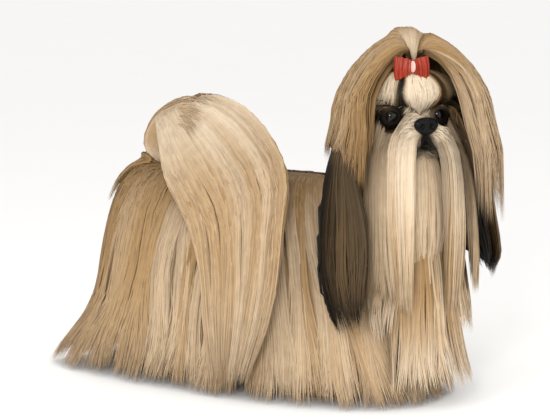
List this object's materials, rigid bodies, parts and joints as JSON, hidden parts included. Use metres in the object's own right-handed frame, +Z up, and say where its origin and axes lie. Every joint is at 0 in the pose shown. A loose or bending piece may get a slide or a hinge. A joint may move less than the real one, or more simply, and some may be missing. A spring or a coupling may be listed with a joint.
{
  "type": "shih tzu",
  "caption": "Standing long-coated small dog with tied topknot, parted floor-length coat and plumed tail curled over the back; rests on four paws.",
  "frame": {"origin": "middle of the floor under the whole dog, on the level of the paw pads", "axes": "+X forward along the body towards the head, +Y to the dog's left, +Z up"},
  "size_m": [0.5546, 0.272, 0.4183],
  "materials": {
    "coat_gold": "long straight golden hair with cream streaks",
    "coat_cream": "long straight cream hair",
    "coat_dark": "long black to dark brown hair",
    "bare_skin": "moist black nose leather",
    "eye": "wet dark brown eye",
    "bow_satin": "red satin ribbon",
    "bow_pale": "pale pink satin ribbon"
  },
  "bodies": {
    "root": {"torso_front_left": "coat_gold", "torso_front_right": "coat_gold", "torso_rear_left": "coat_gold", "torso_rear_right": "coat_gold", "leg_front_left": "coat_cream", "leg_front_right": "coat_cream", "leg_hind_left": "coat_cream", "leg_hind_right": "coat_cream", "neck": "coat_gold", "head": "coat_cream", "muzzle": "coat_cream", "jaw": "coat_cream", "nose": "bare_skin", "eye_left": "eye", "eye_right": "eye", "ear_left": "coat_dark", "ear_right": "coat_dark", "topknot": "coat_gold", "bow_knot": "bow_pale", "bow_loop_left": "bow_satin", "bow_loop_right": "bow_satin", "tail_base": "coat_gold", "tail_middle": "coat_cream", "tail_tip": "coat_cream"}
  },
  "joints": []
}
